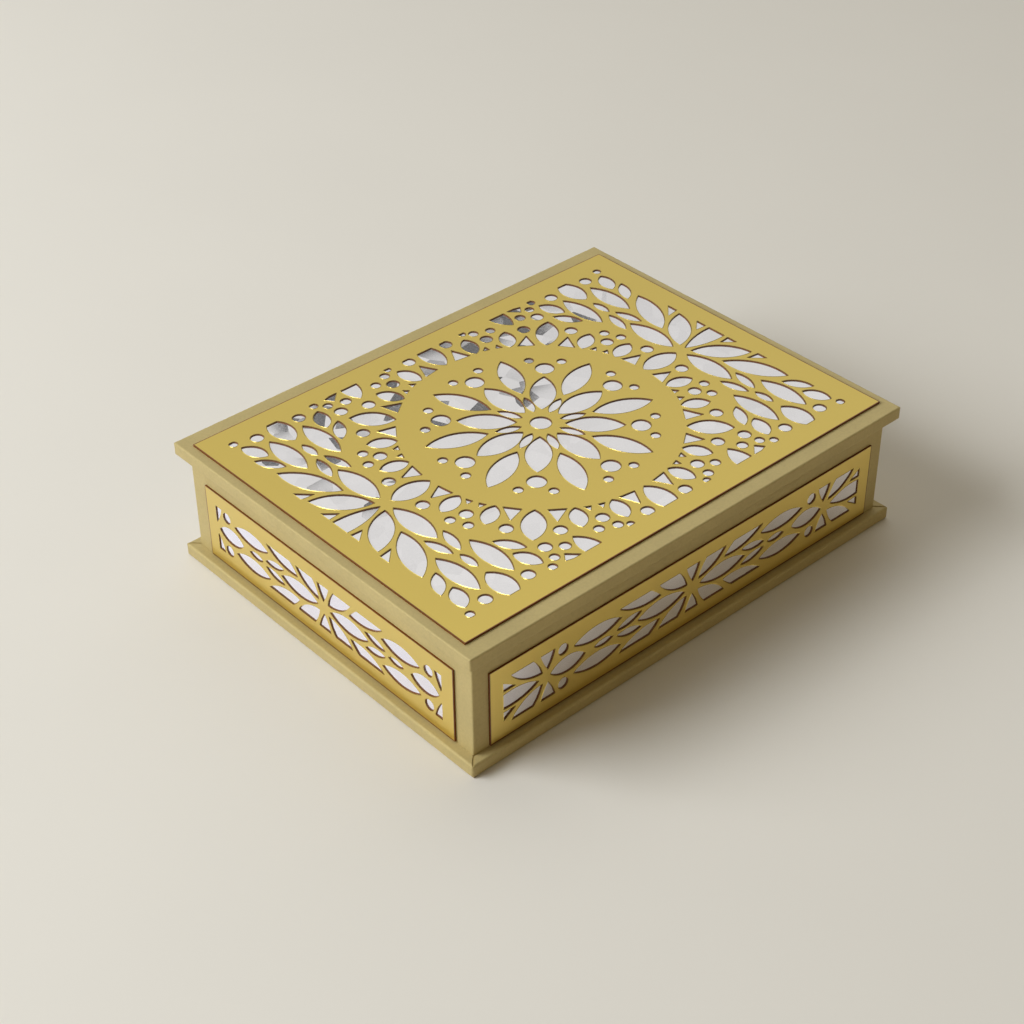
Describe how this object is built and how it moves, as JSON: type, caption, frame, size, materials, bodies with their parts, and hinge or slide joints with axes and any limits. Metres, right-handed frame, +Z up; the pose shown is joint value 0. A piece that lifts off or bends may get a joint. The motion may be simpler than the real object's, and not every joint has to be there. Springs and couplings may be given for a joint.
{
  "type": "hinged book box",
  "caption": "Hinged leatherette-wrapped box for a bound book, with an overhanging lid and base, a lined tray, and gold fretwork over mirror on the lid and walls.",
  "frame": {"origin": "middle of the underside of the base", "axes": "+Z up, +Y along the long side towards the back, +X across towards the side where the lid lifts"},
  "size_m": [0.174, 0.225, 0.0553],
  "materials": {
    "leatherette": "satin champagne-gold leatherette with a fine grain",
    "board": "raw fibreboard, hidden by the covering",
    "lining": "cream velvet over card",
    "gold_fret": "satin gold mirrored acrylic, laser cut, with amber cut edges",
    "silver_mirror": "silver mirrored acrylic",
    "magnet": "nickel-plated bar magnet, hidden",
    "strike": "plain steel plate, hidden"
  },
  "bodies": {
    "tray": {"base_cover": "leatherette", "wall_cover": "leatherette", "hinge_wall_leaf": "leatherette", "base_board": "board", "front_wall": "board", "back_wall": "board", "left_wall": "board", "right_wall": "board", "floor_lining": "lining", "front_lining": "lining", "back_lining": "lining", "left_lining": "lining", "right_lining": "lining", "front_fret": "gold_fret", "back_fret": "gold_fret", "left_fret": "gold_fret", "right_fret": "gold_fret", "front_mirror": "silver_mirror", "back_mirror": "silver_mirror", "left_mirror": "silver_mirror", "right_mirror": "silver_mirror", "wall_magnets": "magnet"},
    "lid": {"lid_board": "board", "lid_cover": "leatherette", "lid_lining": "lining", "lid_strikes": "strike", "lid_mirror": "silver_mirror", "lid_fret": "gold_fret", "hinge_lid_leaf": "leatherette"}
  },
  "joints": [
    {"name": "lid_hinge", "type": "hinge", "parent": "tray", "child": "lid", "pos_m": [-0.0834, 0, 0.049], "axis": [0, -1, 0], "range_deg": [0, 96]}
  ]
}
